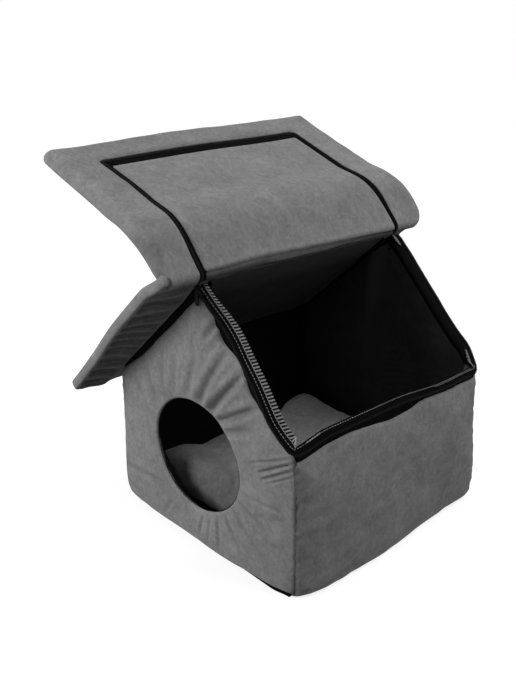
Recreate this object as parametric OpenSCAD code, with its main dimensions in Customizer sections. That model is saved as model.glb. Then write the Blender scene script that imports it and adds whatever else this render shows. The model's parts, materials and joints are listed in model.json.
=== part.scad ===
// Soft pet house: foam walls in suede cloth, a round entrance, a loose cushion and a roof
// whose right slope unzips on three sides and folds back over the ridge.
// Frame: +X right, -Y front, +Z up, origin at the centre of the underside, millimetres.
// The roof flap is drawn folded open. A slope has its own axes: s down from the peak of the
// walls, y along the ridge and n out of the slope.

/* [House] */
// Outside width across the side walls, at their seams
house_w = 380; // [340:5:440]
// Outside depth, from the front face to the back face, at their seams
house_d = 395; // [350:5:450]
// Height of the side walls at their outer face
eave_h = 214; // [190:2:240]
// Height of the gable walls at their peak
ridge_h = 386; // [360:2:410]

/* [Cloth and foam] */
// Thickness of the suede cloth and of the black lining
cloth_t = 1; // [0.6:0.1:1.6]
// Thickness of the foam boards in the walls
wall_foam_t = 18; // [12:1:24]
// Thickness of the foam board in the floor
floor_foam_t = 18; // [10:1:26]
// Thickness of the black sheet under the floor
base_sheet_t = 2; // [1:0.2:4]
// How far the padded walls swell out between their seams
wall_swell = 15; // [4:1:18]
// Distance over which a wall's swell rises
wall_swell_in = 56; // [40:2:64]
// How far the panel on the flap's underside swells
panel_swell = 12; // [4:1:16]
// Distance over which the panel's swell rises
panel_swell_in = 60; // [40:2:80]
// Space between the panel's swell and the inside of the walls
panel_clear = 8; // [4:1:20]

/* [Entrance] */
// Clear diameter of the round entrance
entrance_d = 172; // [140:2:190]
// Height of the entrance's centre above the ground
entrance_z = 146; // [136:2:170]
// Thickness of the black cloth that lines the hole
edging_t = 1.2; // [0.8:0.1:2]

/* [Roof] */
// Thickness of the foam in the roof pads
roof_foam_t = 18; // [12:1:24]
// Overhang of the roof past the front and back faces
gable_overhang = 61; // [30:1:80]
// Overhang of the roof past the eaves, along the slope
eave_overhang = 61; // [30:1:80]
// Distance from the ridge hinge to the line where the open flap bends
bend_from_hinge = 56; // [40:1:90]
// Turn of the flap about the ridge from zipped to folded back
open_turn = 174; // [160:1:178]
// Further bend of the flap when it is folded back
bend_turn = 28; // [10:1:36]

/* [Zip] */
// Width of the tape sewn round the roof opening
house_tape_w = 22; // [18:1:26]
// Width of the tape sewn to the flap
flap_tape_w = 12; // [8:1:16]
// Thickness of both zip tapes
tape_t = 0.8; // [0.5:0.1:1]
// How far the house tape stands proud of the wall
tape_lip = 0.5; // [0.3:0.1:1.5]
// Radius of the zip's path round the eave corners
zip_corner_r = 10; // [6:1:16]
// Width of one row of the zip's coil
coil_w = 3; // [2:0.2:4]
// Height of one row of the zip's coil
coil_h = 2; // [1.6:0.1:3]
// Space between the two rows, where the slider's wedge runs
coil_gap = 1.2; // [1:0.1:2]
// How far the zip runs on past the peak of the walls
zip_past_peak = 5; // [2:0.5:5.5]
// Distance from the peak to the start of the left slope's seam tape
left_tape_start = 6; // [5:1:12]
// Length of the stops at the ends of the zip
stop_l = 2; // [1:0.5:4]
// Width of the overlocked edge inside the opening
overlock_w = 7; // [4:0.5:9]
// Thickness of the overlocked edge
overlock_t = 1.6; // [0.8:0.1:2]

/* [Slider] */
// Length of the slider along the zip
slider_l = 14; // [10:1:18]
// Thickness of the slider's two plates
plate_t = 1.2; // [0.8:0.1:1.6]
// Length of the wedge that joins the two plates
wedge_l = 6; // [3:0.5:9]
// How far the outer plate reaches below the top of the wall
plate_drop = 1; // [0:0.5:3]
// Radius of the pin that carries the pull
pin_r = 1.2; // [0.8:0.1:1.6]
// Radius of the pin's head
pin_head_r = 2.4; // [1.9:0.1:3]
// Thickness of the pin's head
pin_head_t = 0.6; // [0.4:0.1:1]
// Length of the pull from its pin to its tip
pull_l = 18; // [14:1:30]
// Width of the pull
pull_w = 6.4; // [5.2:0.2:7]
// Thickness of the pull
pull_t = 1.8; // [1:0.1:2.4]

/* [Cushion] */
// Space between the cushion's corners and the walls
cushion_gap = 4; // [2:1:12]
// Height of the cushion at its crown
cushion_h = 50; // [34:1:64]
// Height of the cushion's seam above its underside
seam_h = 20; // [12:1:24]
// How far each side is drawn in between the corners
draw_in = 9; // [3:1:14]
// Thickness of the filling at the seam
seam_edge_t = 1; // [0.6:0.1:2]

/* [Fits] */
// Clearance between pieces that move past each other
running_gap = 0.3; // [0.2:0.05:0.4]

/* [Hidden] */
$fn = 64;
BIG = 2000;
SUEDE = "dimgray";
LINING = "black";
FOAM = "beige";
THREAD = "gray";
METAL = "darkslategray";

// Walls and floor
wall_t = wall_foam_t + 2 * cloth_t;
half_w = house_w / 2;
half_d = house_d / 2;
inner_x = half_w - wall_t;
inner_y = half_d - wall_t;
floor_z = base_sheet_t + floor_foam_t + cloth_t;
hole_r = entrance_d / 2 + edging_t;

// Swells rise in two steps, the first one steeper; a step is [distance in from the edge, rise].
// A wall stays flat over its own thickness along the seams, where the zip's pull hangs.
mid_rise = 0.58;
function swell_steps(from, rise_in, rise) =
    [[from, 0], [from + rise_in / 2, mid_rise * rise], [from + rise_in, rise]];
wall_steps = swell_steps(wall_t, wall_swell_in, wall_swell);
panel_steps = swell_steps(0, panel_swell_in, panel_swell);

// Slopes, roof pads and ridge hinge
pitch = atan2(ridge_h - eave_h, half_w);
slope_l = half_w / cos(pitch);
roof_t = roof_foam_t + 2 * cloth_t;
roof_gap = 2 * coil_h + coil_gap + tape_t;
roof_half_y = half_d + gable_overhang;
roof_end = slope_l + eave_overhang;
hinge_n = roof_gap + roof_t / 2;
hinge_s = -hinge_n * tan(pitch);
shut_angle = 180 - 2 * pitch;
fold_angle = 180 + 2 * pitch - open_turn;
ridge_r = max(roof_t / 2, roof_t / 2 / tan(min(shut_angle, fold_angle) / 2));
pad_start = hinge_s + ridge_r + running_gap;
bend_s = hinge_s + bend_from_hinge;
bend_lean = tan(bend_turn / 2);
near_end = bend_s - running_gap / 2;
far_start = bend_s + running_gap / 2;
panel_start = pad_start + cloth_t;
panel_seam = cloth_t * (1 + bend_lean);

// Zip: the coils run outside the wall, one above the other when zipped
coil_in = half_d + tape_lip;
coil_out = coil_in + coil_w;
coil_reach = slope_l + tape_lip;
flap_coil_n = roof_gap - tape_t - coil_h;
zip_start = -zip_past_peak;
coil_start = zip_start + stop_l;

// Slider and pull
slider_s = coil_start + running_gap;
pin_s = slider_s + slider_l / 2;
pin_n = coil_h - running_gap;
plate_y = coil_out + running_gap + plate_t;
pull_y = plate_y + running_gap;
pull_hole_r = pin_r + running_gap;

// Cushion
cushion_z = floor_z + running_gap;
cushion_half_x = inner_x - cushion_gap;
cushion_half_y = inner_y - cushion_gap;
cushion_cells = 14;
skin_step = cloth_t + running_gap;
crown = cushion_h - seam_h - seam_edge_t / 2 - skin_step;
belly = seam_h - seam_edge_t / 2 - skin_step;
// Powers that shape the cushion: how square its plan fills, and how round its crown and belly are
side_power = 4;
crown_power = 0.45;
belly_power = 0.6;
belly_fill = 3;

// Height of the slope plane above a point x of the width
function slope_z(x) = ridge_h - abs(x) * tan(pitch);

// World place of a point on the right slope
function slope_point(s, n) = [s * cos(pitch) + n * sin(pitch), ridge_h - s * sin(pitch) + n * cos(pitch)];

// An outline in x and z, drawn out along y
module along_y(points, y0, y1) {
    translate([0, y1, 0])
        rotate([90, 0, 0])
            linear_extrude(y1 - y0)
                polygon(points);
}

// Outline of the pointed gable wall, drawn in from its edges
function gable_outline(half, inset) =
    let (
        side = half - inset,
        low = base_sheet_t + inset,
        drop = inset / cos(pitch)
    )
    [
        [-side, low],
        [side, low],
        [side, slope_z(side) - drop],
        [0, ridge_h - drop],
        [-side, slope_z(side) - drop]
    ];

// A slab of the front gable wall
module gable_slab(half, y0, y1) {
    along_y(gable_outline(half, 0), y0, y1);
}

// The swell of the front gable wall, from its depth y1 out past its face
module gable_swell(half, face, y1) {
    hull()
        for (step = wall_steps)
            along_y(gable_outline(half, step[0]), face - step[1], y1);
}

// A slab of the right wall, bevelled to the slope at its top
module side_slab(x0, x1, half) {
    along_y([
        [x0, base_sheet_t],
        [x1, base_sheet_t],
        [x1, slope_z(x1)],
        [x0, slope_z(x0)]
    ], -half, half);
}

// The swell of the right wall, from its depth x0 out past its face
module side_swell(x0, face) {
    hull()
        for (step = wall_steps)
            translate([x0, step[0] - half_d, base_sheet_t + step[0]])
                cube([face + step[1] - x0, 2 * (half_d - step[0]), eave_h - base_sheet_t - 2 * step[0]]);
}

module left_side() {
    mirror([1, 0, 0]) children();
}

module floor_slab(half_x, half_y, z0, t) {
    translate([-half_x, -half_y, z0]) cube([2 * half_x, 2 * half_y, t]);
}

// Cylinder along y on the entrance's axis
module entrance_bore(r, y0, y1) {
    translate([0, y1, entrance_z]) rotate([90, 0, 0]) cylinder(r = r, h = y1 - y0);
}

module base_sheet() {
    color(LINING) floor_slab(half_w, half_d, 0, base_sheet_t);
}

module floor_foam() {
    color(FOAM) floor_slab(inner_x, inner_y, base_sheet_t, floor_foam_t);
}

module floor_lining() {
    color(LINING) floor_slab(inner_x, inner_y, base_sheet_t + floor_foam_t, cloth_t);
}

// The entrance cut through one layer of the front wall
module with_entrance() {
    difference() {
        children();
        entrance_bore(hole_r, -half_d - BIG, 0);
    }
}

module gable_foam_swell() {
    gable_swell(half_w - cloth_t, cloth_t - half_d, -inner_y - cloth_t);
}

module gable_cover_shell() {
    difference() {
        union() {
            gable_slab(half_w - cloth_t, -half_d, cloth_t - half_d);
            gable_swell(half_w - cloth_t, -half_d, cloth_t - half_d);
        }
        gable_foam_swell();
    }
}

module gable_foam_board() {
    gable_slab(half_w - cloth_t, cloth_t - half_d, -inner_y - cloth_t);
    gable_foam_swell();
}

module gable_lining_slab() {
    gable_slab(inner_x + cloth_t, -inner_y - cloth_t, -inner_y);
}

module front_cover() {
    color(SUEDE) with_entrance() gable_cover_shell();
}

module front_foam() {
    color(FOAM) with_entrance() gable_foam_board();
}

module front_lining() {
    color(LINING) with_entrance() gable_lining_slab();
}

// The edging runs from the lining out to the swollen face
module entrance_edging() {
    color(LINING)
        difference() {
            intersection() {
                entrance_bore(hole_r, -half_d - BIG, -inner_y);
                union() {
                    gable_slab(half_w, -half_d, -inner_y);
                    gable_swell(half_w - cloth_t, -half_d, -inner_y);
                }
            }
            entrance_bore(entrance_d / 2, -half_d - BIG, 0);
        }
}

module back_side() {
    mirror([0, 1, 0]) children();
}

module back_cover() {
    color(SUEDE) back_side() gable_cover_shell();
}

module back_foam() {
    color(FOAM) back_side() gable_foam_board();
}

module back_lining() {
    color(LINING) back_side() gable_lining_slab();
}

module side_foam_swell() {
    side_swell(inner_x + cloth_t, half_w - cloth_t);
}

module side_cover_shell() {
    difference() {
        union() {
            side_slab(half_w - cloth_t, half_w, half_d);
            side_swell(half_w - cloth_t, half_w);
        }
        side_foam_swell();
    }
}

module side_foam_board() {
    side_slab(inner_x + cloth_t, half_w - cloth_t, inner_y + cloth_t);
    side_foam_swell();
}

module side_lining_slab() {
    side_slab(inner_x, inner_x + cloth_t, inner_y);
}

module left_cover() {
    color(SUEDE) left_side() side_cover_shell();
}

module left_foam() {
    color(FOAM) left_side() side_foam_board();
}

module left_lining() {
    color(LINING) left_side() side_lining_slab();
}

module right_cover() {
    color(SUEDE) side_cover_shell();
}

module right_foam() {
    color(FOAM) side_foam_board();
}

module right_lining() {
    color(LINING) side_lining_slab();
}

// Slope axes (s, y, n) to the house's axes, on the right slope
module on_slope() {
    translate([0, 0, ridge_h]) rotate([0, pitch, 0]) children();
}

// Turned back about a line along y at (s, n)
module turned_back(turn, s, n) {
    translate([s, 0, n]) rotate([0, -turn, 0]) translate([-s, 0, -n]) children();
}

module near_at_rest() {
    on_slope() turned_back(open_turn, hinge_s, hinge_n) children();
}

module far_at_rest() {
    near_at_rest() turned_back(bend_turn, bend_s, roof_gap) children();
}

// Side outline of a roof pad in s and n, inset by the cloth where asked; its two ends may lean
function pad_outline(s0, s1, lean0, lean1, inset) =
    let (
        high = roof_t - inset,
        in0 = inset * sqrt(1 + lean0 * lean0),
        in1 = inset * sqrt(1 + lean1 * lean1)
    )
    [
        [s0 + lean0 * inset + in0, roof_gap + inset],
        [s1 + lean1 * inset - in1, roof_gap + inset],
        [s1 + lean1 * high - in1, roof_gap + high],
        [s0 + lean0 * high + in0, roof_gap + high]
    ];

module pad_core(s0, s1, lean0, lean1) {
    along_y(pad_outline(s0, s1, lean0, lean1, cloth_t), cloth_t - roof_half_y, roof_half_y - cloth_t);
}

// The cloth bag round a pad's foam: its outer half (side 1) or its lower half (side -1)
module pad_cloth(s0, s1, lean0, lean1, side) {
    difference() {
        along_y(pad_outline(s0, s1, lean0, lean1, 0), -roof_half_y, roof_half_y);
        pad_core(s0, s1, lean0, lean1);
        translate([-BIG / 2, -BIG / 2, side > 0 ? hinge_n - BIG : hinge_n]) cube(BIG);
    }
}

// The part of a pad's lower cloth that lies inside the zip's path
module panel_zone(s0, s1) {
    translate([s0, -coil_in, roof_gap]) cube([s1 - s0, 2 * coil_in, cloth_t]);
}

// The swell of the flap's panel, which clears the inside of the walls when the flap is zipped
module panel_swelling() {
    reach = inner_x / cos(pitch) - panel_clear;
    half = inner_y - panel_clear;
    hull()
        for (step = panel_steps)
            translate([panel_start + step[0], step[0] - half, roof_gap - step[1]])
                cube([reach - panel_start - 2 * step[0], 2 * (half - step[0]), cloth_t + step[1]]);
}

// The flap's panel between two distances down the slope
module swollen_panel(s0, s1) {
    panel_zone(s0, s1);
    between(s0, s1) panel_swelling();
}

module left_roof_cover() {
    color(SUEDE) left_side() on_slope() pad_cloth(pad_start, roof_end, 0, 0, 1);
}

module left_roof_foam() {
    color(FOAM) left_side() on_slope() pad_core(pad_start, roof_end, 0, 0);
}

module left_roof_lining() {
    color(SUEDE) left_side() on_slope() pad_cloth(pad_start, roof_end, 0, 0, -1);
}

// Cylinder along the ridge hinge
module ridge_roll(r, half) {
    on_slope() translate([hinge_s, half, hinge_n]) rotate([90, 0, 0]) cylinder(r = r, h = 2 * half);
}

module ridge_cover() {
    color(SUEDE)
        difference() {
            ridge_roll(ridge_r, roof_half_y);
            ridge_roll(ridge_r - cloth_t, roof_half_y - cloth_t);
        }
}

module ridge_foam() {
    color(FOAM) ridge_roll(ridge_r - cloth_t, roof_half_y - cloth_t);
}

// Flat tongue from s0 to reach; its two far corners are round where r is given
module tongue(s0, reach, half, r) {
    if (r > 0) {
        translate([s0, -half]) square([reach - r - s0, 2 * half]);
        translate([s0, r - half]) square([reach - s0, 2 * (half - r)]);
        for (side = [-1, 1])
            translate([reach - r, side * (half - r)]) circle(r);
    } else {
        translate([s0, -half]) square([reach - s0, 2 * half]);
    }
}

// Band of width w inside the edge of a tongue, open towards the ridge; a narrow band is round
// at its inner corners too
module u_band(s0, reach, half, r, w, n0, t) {
    inner_r = r > 2 * w ? r - w : 0;
    translate([0, 0, n0])
        linear_extrude(t)
            difference() {
                tongue(s0, reach, half, r);
                tongue(s0 - BIG, reach - w, half - w, inner_r);
            }
}

module left_seam_tape() {
    color(LINING)
        left_side() on_slope()
            u_band(left_tape_start, coil_reach, coil_in, zip_corner_r, wall_t, 0, roof_gap);
}

module house_zip_tape() {
    color(LINING) on_slope()
        u_band(zip_start, coil_reach, coil_in, zip_corner_r, house_tape_w, 0, tape_t);
}

module coil_band(n0) {
    u_band(coil_start, coil_reach + coil_w, coil_out, zip_corner_r + coil_w, coil_w, n0, coil_h);
}

module house_zip_coil() {
    color(LINING) on_slope() coil_band(0);
}

module opening_overlock() {
    inside = house_tape_w - overlock_w;
    color(THREAD) on_slope()
        u_band(zip_start, coil_reach - inside, coil_in - inside, 0, overlock_w, tape_t, overlock_t);
}

module zip_stops() {
    color(METAL) on_slope()
        for (y = [-coil_out, coil_in])
            translate([zip_start, y, 0]) cube([stop_l, coil_w, coil_h]);
}

module flap_tape_band() {
    u_band(coil_start, coil_reach + coil_w, coil_out, zip_corner_r + coil_w, flap_tape_w,
        roof_gap - tape_t, tape_t);
}

// Keeps what lies between two distances down the slope
module between(s0, s1) {
    intersection() {
        children();
        translate([s0, -BIG / 2, -BIG / 2]) cube([s1 - s0, BIG, BIG]);
    }
}

module near_lower_cloth() {
    pad_cloth(pad_start, near_end, 0, -bend_lean, -1);
}

module near_panel_zone() {
    panel_zone(panel_start, near_end - panel_seam);
}

module flap_near_cover() {
    color(SUEDE) near_at_rest() pad_cloth(pad_start, near_end, 0, -bend_lean, 1);
}

module flap_near_foam() {
    color(FOAM) near_at_rest() pad_core(pad_start, near_end, 0, -bend_lean);
}

module flap_near_panel() {
    color(SUEDE) near_at_rest() swollen_panel(panel_start, near_end - panel_seam);
}

module flap_near_border() {
    color(SUEDE) near_at_rest()
        difference() {
            near_lower_cloth();
            near_panel_zone();
        }
}

module flap_near_zip_tape() {
    color(LINING) near_at_rest() between(coil_start, near_end) flap_tape_band();
}

module flap_near_zip_coil() {
    color(LINING) near_at_rest() between(coil_start, near_end) coil_band(flap_coil_n);
}

module far_lower_cloth() {
    pad_cloth(far_start, roof_end, bend_lean, 0, -1);
}

module far_panel_zone() {
    panel_zone(far_start + panel_seam, coil_reach);
}

module flap_far_cover() {
    color(SUEDE) far_at_rest() pad_cloth(far_start, roof_end, bend_lean, 0, 1);
}

module flap_far_foam() {
    color(FOAM) far_at_rest() pad_core(far_start, roof_end, bend_lean, 0);
}

module flap_far_panel() {
    color(SUEDE) far_at_rest() swollen_panel(far_start + panel_seam, coil_reach);
}

module flap_far_border() {
    color(SUEDE) far_at_rest()
        difference() {
            far_lower_cloth();
            far_panel_zone();
        }
}

module flap_far_zip_tape() {
    color(LINING) far_at_rest() between(far_start, BIG) flap_tape_band();
}

module flap_far_zip_coil() {
    color(LINING) far_at_rest() between(far_start, BIG) coil_band(flap_coil_n);
}

// Block on the slope, given by its place and its size along s, y and n
module slope_block(s, y, n, size) {
    translate([s, y, n]) cube(size);
}

module zip_slider() {
    inner_plate_n = tape_t + running_gap;
    inner_plate_h = roof_gap - 2 * inner_plate_n;
    inner_plate_y = coil_in - running_gap;
    outer_plate_h = roof_gap - 2 * running_gap + plate_drop;
    wedge_n = coil_h + running_gap;
    wedge_y = plate_y - inner_plate_y + plate_t;
    color(METAL) on_slope() {
        slope_block(slider_s, -plate_y, -plate_drop, [slider_l, plate_t, outer_plate_h]);
        slope_block(slider_s, -inner_plate_y, inner_plate_n, [slider_l, plate_t, inner_plate_h]);
        slope_block(pin_s - wedge_l / 2, -plate_y, wedge_n, [wedge_l, wedge_y, coil_gap - 2 * running_gap]);
        translate([pin_s, -plate_y, pin_n])
            rotate([90, 0, 0]) {
                cylinder(r = pin_r, h = pull_t + 2 * running_gap);
                translate([0, 0, pull_t + 2 * running_gap]) cylinder(r = pin_head_r, h = pin_head_t);
            }
    }
}

// The pull hangs straight down from its pin
module zip_pull() {
    pin = slope_point(pin_s, pin_n);
    color(METAL)
        translate([pin[0], -pull_y, pin[1]])
            rotate([90, 0, 0])
                linear_extrude(pull_t)
                    difference() {
                        union() {
                            circle(pull_w / 2);
                            translate([-pull_w / 2, pull_w / 2 - pull_l])
                                square([pull_w, pull_l - pull_w / 2]);
                            translate([0, pull_w / 2 - pull_l]) circle(pull_w / 2);
                        }
                        circle(pull_hole_r);
                    }
}

// Cushion: a grid over the plan, closer towards the sides, with the seam at the rim
function spread(i) = sin(90 * (2 * i / cushion_cells - 1));

function fullness(u, v) = (1 - pow(abs(u), side_power)) * (1 - pow(abs(v), side_power));

function seam_z() = cushion_z + seam_h;

filling_top = function(u, v)
    seam_z() + seam_edge_t / 2 + crown * pow(fullness(u, v), crown_power);

filling_bottom = function(u, v)
    seam_z() - seam_edge_t / 2 - belly * pow(min(1, belly_fill * fullness(u, v)), belly_power);

function cushion_point(u, v, height, lift) = [
    u * (cushion_half_x - draw_in * (1 - v * v)),
    v * (cushion_half_y - draw_in * (1 - u * u)),
    height(u, v) + lift
];

function grid_index(layer, i, j) = (layer * (cushion_cells + 1) + i) * (cushion_cells + 1) + j;

// The four corners of a cell as two triangles
function two_triangles(a, b, c, d) = [[a, b, c], [a, c, d]];

// Closed layer between a lower and an upper surface over the cushion's plan
module cushion_layer(low, low_lift, high, high_lift) {
    n = cushion_cells;
    points = [
        for (i = [0:n]) for (j = [0:n]) cushion_point(spread(i), spread(j), low, low_lift),
        for (i = [0:n]) for (j = [0:n]) cushion_point(spread(i), spread(j), high, high_lift)
    ];
    upper = function(i, j) grid_index(1, i, j);
    lower = function(i, j) grid_index(0, i, j);
    faces = [
        for (i = [0:n - 1]) for (j = [0:n - 1])
            each two_triangles(upper(i, j), upper(i, j + 1), upper(i + 1, j + 1), upper(i + 1, j)),
        for (i = [0:n - 1]) for (j = [0:n - 1])
            each two_triangles(lower(i, j), lower(i + 1, j), lower(i + 1, j + 1), lower(i, j + 1)),
        for (i = [0:n - 1])
            each two_triangles(lower(i, 0), upper(i, 0), upper(i + 1, 0), lower(i + 1, 0)),
        for (i = [0:n - 1])
            each two_triangles(lower(i + 1, n), upper(i + 1, n), upper(i, n), lower(i, n)),
        for (j = [0:n - 1])
            each two_triangles(lower(0, j + 1), upper(0, j + 1), upper(0, j), lower(0, j)),
        for (j = [0:n - 1])
            each two_triangles(lower(n, j), upper(n, j), upper(n, j + 1), lower(n, j + 1))
    ];
    polyhedron(points, faces);
}

module cushion_top() {
    color(SUEDE) cushion_layer(filling_top, running_gap, filling_top, skin_step);
}

module cushion_bottom() {
    color(SUEDE) cushion_layer(filling_bottom, -skin_step, filling_bottom, -running_gap);
}

module cushion_filling() {
    color(FOAM) cushion_layer(filling_bottom, 0, filling_top, 0);
}

base_sheet();
floor_foam();
floor_lining();
front_cover();
front_foam();
front_lining();
entrance_edging();
back_cover();
back_foam();
back_lining();
left_cover();
left_foam();
left_lining();
right_cover();
right_foam();
right_lining();
left_roof_cover();
left_roof_foam();
left_roof_lining();
left_seam_tape();
ridge_cover();
ridge_foam();
house_zip_tape();
house_zip_coil();
opening_overlock();
zip_stops();
flap_near_cover();
flap_near_foam();
flap_near_panel();
flap_near_border();
flap_near_zip_tape();
flap_near_zip_coil();
flap_far_cover();
flap_far_foam();
flap_far_panel();
flap_far_border();
flap_far_zip_tape();
flap_far_zip_coil();
zip_slider();
zip_pull();
cushion_top();
cushion_bottom();
cushion_filling();
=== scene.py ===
import json
import math

import bmesh
import bpy
import numpy as np
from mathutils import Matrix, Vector


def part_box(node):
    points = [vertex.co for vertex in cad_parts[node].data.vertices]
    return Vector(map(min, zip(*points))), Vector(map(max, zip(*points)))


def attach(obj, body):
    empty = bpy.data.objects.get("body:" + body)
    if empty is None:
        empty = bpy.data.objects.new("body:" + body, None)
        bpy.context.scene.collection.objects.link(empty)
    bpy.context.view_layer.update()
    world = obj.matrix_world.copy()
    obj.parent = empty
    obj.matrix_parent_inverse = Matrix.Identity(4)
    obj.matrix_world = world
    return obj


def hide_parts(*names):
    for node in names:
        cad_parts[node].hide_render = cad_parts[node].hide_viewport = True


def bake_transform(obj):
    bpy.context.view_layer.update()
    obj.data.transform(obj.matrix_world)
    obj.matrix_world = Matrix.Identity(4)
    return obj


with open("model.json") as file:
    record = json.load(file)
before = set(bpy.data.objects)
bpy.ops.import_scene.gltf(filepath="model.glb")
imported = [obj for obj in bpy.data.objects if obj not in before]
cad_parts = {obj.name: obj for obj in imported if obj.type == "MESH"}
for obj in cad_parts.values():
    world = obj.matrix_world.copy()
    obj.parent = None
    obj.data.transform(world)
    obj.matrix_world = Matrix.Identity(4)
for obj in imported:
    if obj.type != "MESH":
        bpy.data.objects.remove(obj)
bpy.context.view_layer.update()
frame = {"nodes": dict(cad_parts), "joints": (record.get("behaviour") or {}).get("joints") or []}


# The studio: a white floor that keeps a soft shadow, a broad lamp at the front left, one on the right,
# weak ones behind and by the camera, which stands where the photograph was taken.
camera_place = (0.8292, -0.8406, 0.7235)
camera_aim = (-0.0454, -0.0502, 0.2569)
photo_lens = 43.48
floor_size = 30.0
floor_gap = 0.0004
world_glow = 0.04

scene = bpy.context.scene
scene.view_settings.view_transform = "Standard"


def put(name, data):
    """A new object in the scene, at the origin."""
    thing = bpy.data.objects.new(name, data)
    scene.collection.objects.link(thing)
    return thing


def point_at(thing, place, aim):
    """Stands a camera or a lamp at a place and turns it to what it looks at."""
    thing.location = place
    thing.rotation_euler = (Vector(aim) - Vector(place)).to_track_quat("-Z", "Y").to_euler()


camera = bpy.data.cameras.new("photo_camera")
camera.lens = photo_lens
scene.camera = put("photo_camera", camera)
point_at(scene.camera, camera_place, camera_aim)


def soft_lamp(name, place, aim, size, watts):
    lamp = bpy.data.lights.new(name, "AREA")
    lamp.shape = "DISK"
    lamp.size = size
    lamp.energy = watts
    point_at(put(name, lamp), place, aim)


house_middle = (0, 0, 0.25)
soft_lamp("front_lamp", (-1.1, -2.2, 1.3), house_middle, 1.6, 62)
soft_lamp("right_lamp", (1.3, 0.9, 2.2), house_middle, 1.4, 43)
soft_lamp("camera_lamp", (0.6, -1.7, 1.7), house_middle, 1.2, 6)
soft_lamp("back_lamp", (-0.3, 1.5, 2.4), house_middle, 1.4, 13)


def plain_material(name, colour, roughness, specular=0.3, sheen=0.0):
    """A material with its shader's plain values; returns it with its node tree and its shader."""
    made = bpy.data.materials.new(name)
    made.use_nodes = True
    shader = made.node_tree.nodes["Principled BSDF"]
    for socket, value in (("Base Color", (*colour, 1)), ("Roughness", roughness), ("Sheen Weight", sheen),
                          ("Specular IOR Level", specular), ("Sheen Roughness", 0.5)):
        shader.inputs[socket].default_value = value
    return made, made.node_tree, shader


def ranged(tree, value, low, high, from_low=0.0, from_high=1.0):
    """A value brought from one range to another."""
    change = tree.nodes.new("ShaderNodeMapRange")
    for socket, end in (("From Min", from_low), ("From Max", from_high), ("To Min", low), ("To Max", high)):
        change.inputs[socket].default_value = end
    tree.links.new(value, change.inputs["Value"])
    return change.outputs[0]


def joined(tree, kind, first, second):
    """Two values added, multiplied or joined in another way."""
    both = tree.nodes.new("ShaderNodeMath")
    both.operation = kind
    tree.links.new(first, both.inputs[0])
    tree.links.new(second, both.inputs[1])
    return both.outputs[0]


def place_on(tree):
    """The place of a point on its piece."""
    return tree.nodes.new("ShaderNodeTexCoord").outputs["Object"]


def seen_directly(tree):
    """1 for camera rays and for rays that metal or glass sends on, 0 for the light on the object."""
    path = tree.nodes.new("ShaderNodeLightPath").outputs
    seen = joined(tree, "MAXIMUM", path["Is Camera Ray"], path["Is Glossy Ray"])
    return joined(tree, "MAXIMUM", seen, path["Is Transmission Ray"])


world = bpy.data.worlds.new("white_studio")
scene.world = world
world.use_nodes = True
sky = world.node_tree.nodes["Background"]
sky.inputs["Color"].default_value = (1, 1, 1, 1)
sky_level = ranged(world.node_tree, seen_directly(world.node_tree), world_glow, 1.0)
world.node_tree.links.new(sky_level, sky.inputs["Strength"])

floor_mesh = bpy.data.meshes.new("studio_floor")
floor_plan = bmesh.new()
bmesh.ops.create_grid(floor_plan, x_segments=1, y_segments=1, size=floor_size)
bmesh.ops.translate(floor_plan, verts=floor_plan.verts, vec=(0, 0, -floor_gap))
floor_plan.to_mesh(floor_mesh)
floor_plan.free()
put("studio_floor", floor_mesh)

floor_paint, paint, floor_shader = plain_material("studio_floor", (0.30, 0.30, 0.30), 1.0, specular=0.0)
floor_shader.inputs["Emission Color"].default_value = (1, 1, 1, 1)
from_house = paint.nodes.new("ShaderNodeVectorMath")
from_house.operation = "LENGTH"
paint.links.new(place_on(paint), from_house.inputs[0])
floor_white = ranged(paint, from_house.outputs["Value"], 0.80, 1.0, 0.25, 0.75)
floor_glow = joined(paint, "MULTIPLY", seen_directly(paint), floor_white)
paint.links.new(floor_glow, floor_shader.inputs["Emission Strength"])
floor_mesh.materials.append(floor_paint)


# The base: a black non-woven sheet under the whole house, sewn to the bottom edge of the walls.
# Its rim turns up a little, so a thin black line shows under the front right corner.
mm = 0.001
base_low, base_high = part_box("base_sheet")
half_w = base_high.x
half_d = base_high.y


def smooth(low, high, value):
    """0 below low, 1 above high and an even change between them."""
    share = np.clip((value - low) / (high - low), 0, 1)
    return share * share * (3 - 2 * share)


def rise(low, high, value):
    """The same between two places in mm."""
    return smooth(low * mm, high * mm, value)


def crowd(share, pull=0.125):
    """Shares from 0 to 1, drawn towards both ends, where cloth turns round an edge."""
    return share - pull * np.sin(2 * np.pi * share)


def cloth(name, columns, rows, place):
    """A grid of cloth: place gives x, y and z from each point's share across and along it, and, where
    folds lie in shade, how much darker they are."""
    grid = bmesh.new()
    bmesh.ops.create_grid(grid, x_segments=columns, y_segments=rows, size=0.5)
    mesh = bpy.data.meshes.new(name)
    grid.to_mesh(mesh)
    points = np.empty((len(mesh.vertices), 3))
    mesh.vertices.foreach_get("co", points.ravel())
    x, y, z, *shade = place(points[:, 0] + 0.5, points[:, 1] + 0.5)
    mesh.vertices.foreach_set("co", np.stack((x, y, z), axis=1).ravel())
    if shade:
        mesh.attributes.new("painted_shade", "FLOAT", "POINT").data.foreach_set("value", shade[0])
    grid.clear()
    grid.from_mesh(mesh)
    bmesh.ops.remove_doubles(grid, verts=grid.verts, dist=0.02 * mm)
    bmesh.ops.recalc_face_normals(grid, faces=grid.faces)
    for face in grid.faces:
        face.smooth = True
    grid.to_mesh(mesh)
    grid.free()
    return put(name, mesh)


def thicken(piece, thickness):
    """Gives a sheet its thickness, half to each side."""
    wall = piece.modifiers.new("thickness", "SOLIDIFY")
    wall.thickness = thickness
    wall.offset = 0


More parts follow.
